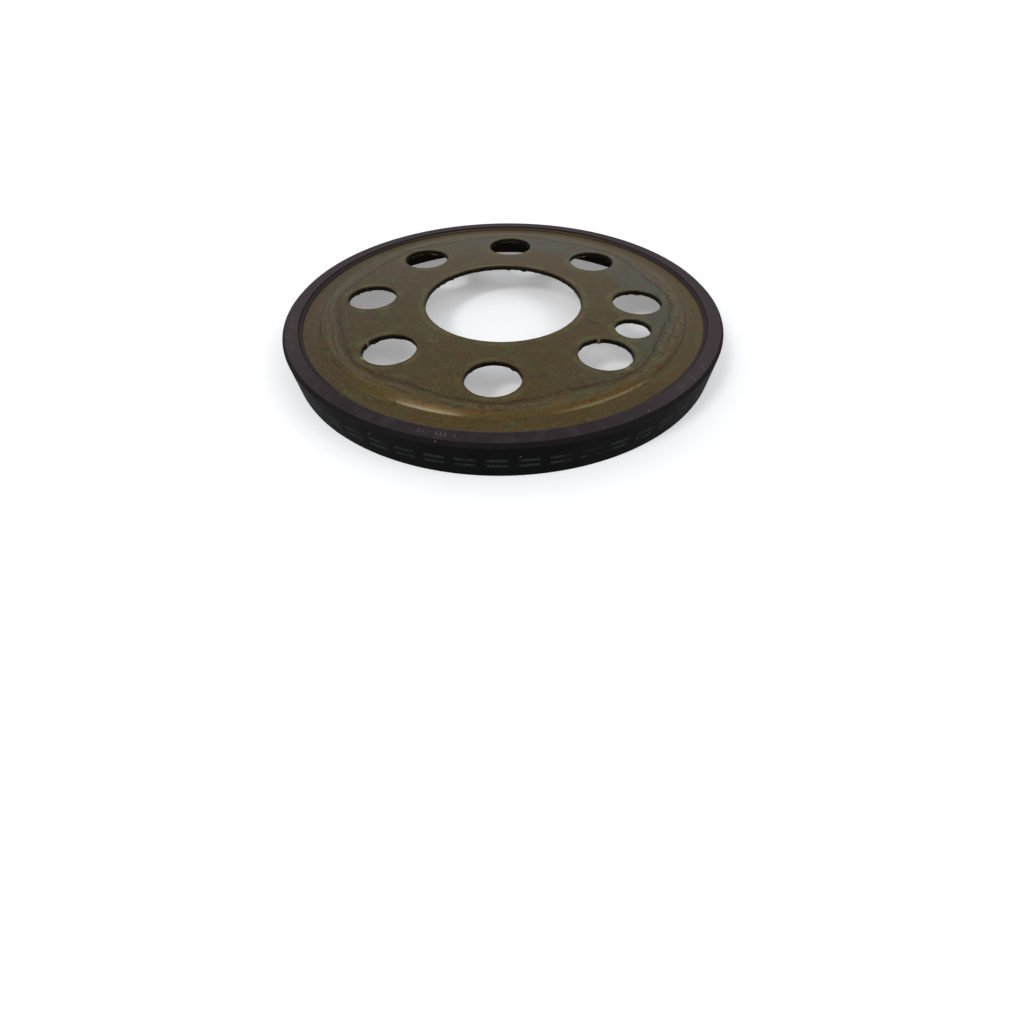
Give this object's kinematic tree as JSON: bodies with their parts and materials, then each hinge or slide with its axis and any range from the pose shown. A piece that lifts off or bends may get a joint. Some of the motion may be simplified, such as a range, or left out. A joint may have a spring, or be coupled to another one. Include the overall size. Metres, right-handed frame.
{
  "type": "crankshaft sensor wheel",
  "caption": "Stamped steel cup with a centre bore, a circle of bolt holes and a dowel hole, its rim covered by a moulded rubber sensor track; it bolts to the end of a crankshaft.",
  "frame": {"origin": "centre of the open edge of the rim, on which the wheel lies", "axes": "+Z along the wheel's axis towards the plate; a bolt hole lies on the -Y axis, and the dowel hole is between the next two holes towards +X"},
  "size_m": [0.125, 0.125, 0.0093],
  "materials": {
    "plated_steel": "yellow-passivated zinc plating, dull, with olive and brown stains",
    "ring_rubber": "moulded, satin, dark grey"
  },
  "bodies": {
    "root": {"steel_disc": "plated_steel", "sensor_ring": "ring_rubber"}
  },
  "joints": []
}
